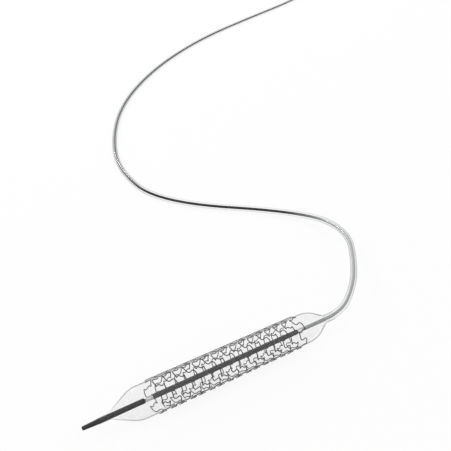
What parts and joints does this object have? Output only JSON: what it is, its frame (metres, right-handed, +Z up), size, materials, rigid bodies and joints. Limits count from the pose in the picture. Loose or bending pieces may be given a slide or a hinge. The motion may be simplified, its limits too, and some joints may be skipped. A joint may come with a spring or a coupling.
{
  "type": "balloon-expandable vascular stent on its delivery catheter",
  "caption": "Open lattice stent expanded on a clear balloon catheter, with a tapered tip, a coiled shaft and a Y-shaped hub.",
  "frame": {"origin": "on the supporting surface, below the middle of the tip, balloon and stent", "axes": "+X along the balloon's axis from the tip towards the shaft, +Z up"},
  "size_m": [0.2027, 0.2414, 0.0078],
  "materials": {
    "stent_metal": "electropolished cobalt-chromium",
    "balloon_film": "clear thin film",
    "tip_polymer": "matte, soft",
    "inner_tube_polymer": "satin",
    "sleeve_polymer": "matte",
    "band_metal": "polished platinum-iridium",
    "shaft_polymer": "clear, glossy",
    "relief_polymer": "soft, satin",
    "hub_polymer": "clear, moulded"
  },
  "bodies": {
    "root": {"stent": "stent_metal", "balloon": "balloon_film", "distal_tip": "tip_polymer", "inner_tube": "inner_tube_polymer", "mounting_sleeve": "sleeve_polymer", "distal_marker_band": "band_metal", "proximal_marker_band": "band_metal", "catheter_shaft": "shaft_polymer", "shaft_coil": "shaft_polymer", "shaft_tail": "shaft_polymer", "strain_relief": "relief_polymer", "luer_hub": "hub_polymer"}
  },
  "joints": []
}
